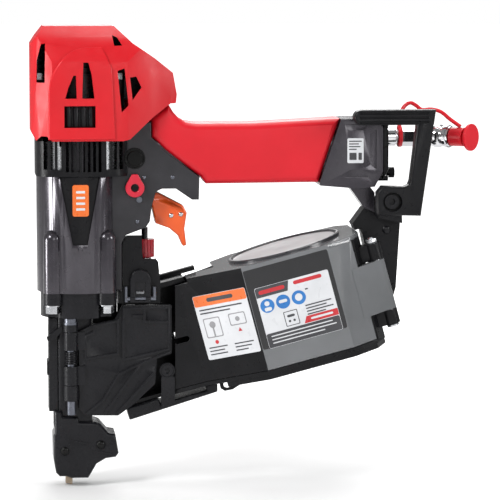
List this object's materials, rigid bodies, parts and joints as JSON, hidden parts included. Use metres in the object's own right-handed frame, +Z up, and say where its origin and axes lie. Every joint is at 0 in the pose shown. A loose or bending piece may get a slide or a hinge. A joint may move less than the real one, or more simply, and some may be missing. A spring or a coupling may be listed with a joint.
{
  "type": "pneumatic coil nail gun",
  "caption": "Coil nail gun with covered cylinder, rubber grip, sprung trigger and contact foot, hinged nose door and clear tilted coil magazine, belt hook and swivel air plug.",
  "frame": {"origin": "centre of the nail exit on the contact foot's face, on the driver's axis", "axes": "+Z up the tool along the driver, +X towards the air plug, -Y towards the side that opens"},
  "size_m": [0.2865, 0.086, 0.2938],
  "materials": {
    "gunmetal": "gloss metallic",
    "bracket_paint": "fine matt texture",
    "red_plastic": "satin",
    "red_rubber": "matt",
    "dial_red": "satin",
    "orange_plastic": "satin",
    "black_plastic": "moulded",
    "black_steel": "black oxide",
    "bright_steel": "zinc plated",
    "pin_steel": "dark nickel",
    "chrome": "polished",
    "clear_smoke": "clear, smoked",
    "aluminium": "machined",
    "black_rubber": "matt",
    "probe_steel": "hardened",
    "label": "printed film"
  },
  "bodies": {
    "housing": {"air_inlet": "chrome", "arm_housing": "black_plastic", "body_casting": "gunmetal", "bumper": "black_rubber", "coil_spindle": "bright_steel", "cover_vents": "black_plastic", "cylinder_cover": "red_plastic", "cylinder_head": "black_steel", "cylinder_sleeve": "aluminium", "end_cap_knob": "black_plastic", "end_cap_screws": "bright_steel", "exhaust_grille": "black_plastic", "exhaust_screen": "bright_steel", "feed_cylinder": "aluminium", "hand_grip": "red_rubber", "handle_end_cap": "black_plastic", "head_bolts": "bright_steel", "head_valve_spring": "bright_steel", "hinge_pin": "pin_steel", "hinge_spring": "black_steel", "hook_boss": "black_steel", "latch_pins": "pin_steel", "lower_rail": "black_steel", "magazine_base": "black_plastic", "magazine_bracket": "black_plastic", "magazine_hinge_rod": "bright_steel", "nose_body": "black_steel", "nose_bolts": "bright_steel", "nose_guard": "black_steel", "rail_lug": "black_steel", "rail_screw": "black_steel", "side_inserts": "black_plastic", "side_plug": "black_plastic", "top_rail": "black_plastic", "trigger_bracket": "bracket_paint", "trigger_pin": "bright_steel", "valve_housing": "aluminium"},
    "driver": {"piston": "aluminium", "piston_ring": "black_rubber", "driver_blade": "bright_steel"},
    "head_valve": {"head_valve": "aluminium"},
    "trigger": {"trigger": "orange_plastic"},
    "trigger_stem": {"trigger_stem": "aluminium"},
    "contact_arm": {"contact_foot": "black_steel", "foot_pins": "black_steel", "contact_link": "black_steel", "dial_spring": "bright_steel"},
    "depth_dial": {"adjust_dial": "dial_red"},
    "locator": {"locator_probe": "probe_steel"},
    "mode_lever": {"mode_lever": "red_plastic"},
    "nose_door": {"nose_door": "black_steel"},
    "door_latch": {"door_latch": "black_steel"},
    "magazine_cover": {"magazine_cover": "clear_smoke"},
    "nail_platform": {"nail_platform": "black_plastic"},
    "hook": {"hook": "black_plastic"},
    "plug": {"swivel_plug": "chrome", "cap_strap": "red_rubber"},
    "dust_cap": {"dust_cap": "red_rubber"},
    "feed_piston": {"feed_piston": "aluminium"},
    "feed_pawl": {"feed_pawl": "probe_steel"}
  },
  "joints": [
    {"name": "driver_slide", "type": "slide", "parent": "housing", "child": "driver", "axis": [0, 0, -1], "range_m": [0, 0.088]},
    {"name": "head_valve_lift", "type": "slide", "parent": "housing", "child": "head_valve", "axis": [0, 0, 1], "range_m": [0, 0.004], "stiffness_N_per_m": 600, "springref_m": -0.004, "deforming": ["head_valve_spring"]},
    {"name": "trigger_pull", "type": "hinge", "parent": "housing", "child": "trigger", "pos_m": [0.0379, 0, 0.1784], "axis": [0, -1, 0], "range_deg": [0, 10], "stiffness_Nm_per_rad": 0.2, "springref_deg": -11.46},
    {"name": "stem_lift", "type": "slide", "parent": "housing", "child": "trigger_stem", "axis": [0, 0, 1], "range_m": [0, 0.0016]},
    {"name": "contact_push", "type": "slide", "parent": "housing", "child": "contact_arm", "axis": [0, 0, 1], "range_m": [0, 0.01], "stiffness_N_per_m": 250, "springref_m": -0.012},
    {"name": "dial_turn", "type": "hinge", "parent": "contact_arm", "child": "depth_dial", "pos_m": [0.0423, 0, 0.146], "axis": [0, 0, 1], "range_deg": [-180, 180]},
    {"name": "probe_swing", "type": "hinge", "parent": "contact_arm", "child": "locator", "pos_m": [-0.01, 0, 0.0178], "axis": [0, 1, 0], "range_deg": [0, 12], "stiffness_Nm_per_rad": 0.02, "springref_deg": -17.19},
    {"name": "mode_turn", "type": "hinge", "parent": "housing", "child": "mode_lever", "pos_m": [0.035, -0.018, 0.1862], "axis": [0, 1, 0], "range_deg": [0, 90]},
    {"name": "door_swing", "type": "hinge", "parent": "housing", "child": "nose_door", "pos_m": [-0.0058, -0.016, 0.075], "axis": [0, 0, -1], "range_deg": [0, 110]},
    {"name": "latch_turn", "type": "hinge", "parent": "housing", "child": "door_latch", "pos_m": [0.038, -0.0176, 0.1156], "axis": [1, 0, 0], "range_deg": [0, 25], "stiffness_Nm_per_rad": 0.02, "springref_deg": -11.46},
    {"name": "cover_swing", "type": "hinge", "parent": "housing", "child": "magazine_cover", "pos_m": [0.19217, -0.025, 0.12396], "axis": [-0.2588, 0, 0.9659], "range_deg": [0, 95]},
    {"name": "platform_slide", "type": "slide", "parent": "housing", "child": "nail_platform", "axis": [-0.2588, 0, 0.9659], "range_m": [0, 0.025]},
    {"name": "hook_turn", "type": "hinge", "parent": "housing", "child": "hook", "pos_m": [0.197, -0.029, 0.177], "axis": [0, 1, 0], "range_deg": [0, 100]},
    {"name": "plug_turn", "type": "hinge", "parent": "housing", "child": "plug", "pos_m": [0.21, 0, 0.2165], "axis": [1, 0, 0], "continuous": true},
    {"name": "cap_pull", "type": "slide", "parent": "plug", "child": "dust_cap", "axis": [0.7431, -0.6691, 0], "range_m": [0, 0.012]},
    {"name": "feed_stroke", "type": "slide", "parent": "housing", "child": "feed_piston", "axis": [0.9659, 0, 0.2588], "range_m": [0, 0.008], "stiffness_N_per_m": 200, "springref_m": -0.006},
    {"name": "pawl_turn", "type": "hinge", "parent": "feed_piston", "child": "feed_pawl", "pos_m": [0.01231, 0.0202, 0.07577], "axis": [-0.2588, 0, 0.9659], "range_deg": [0, 12], "stiffness_Nm_per_rad": 0.01, "springref_deg": -11.46}
  ],
  "couplings": [
    {"joint": "stem_lift", "follows": "trigger_pull", "m_per_rad": 0.0091673}
  ]
}
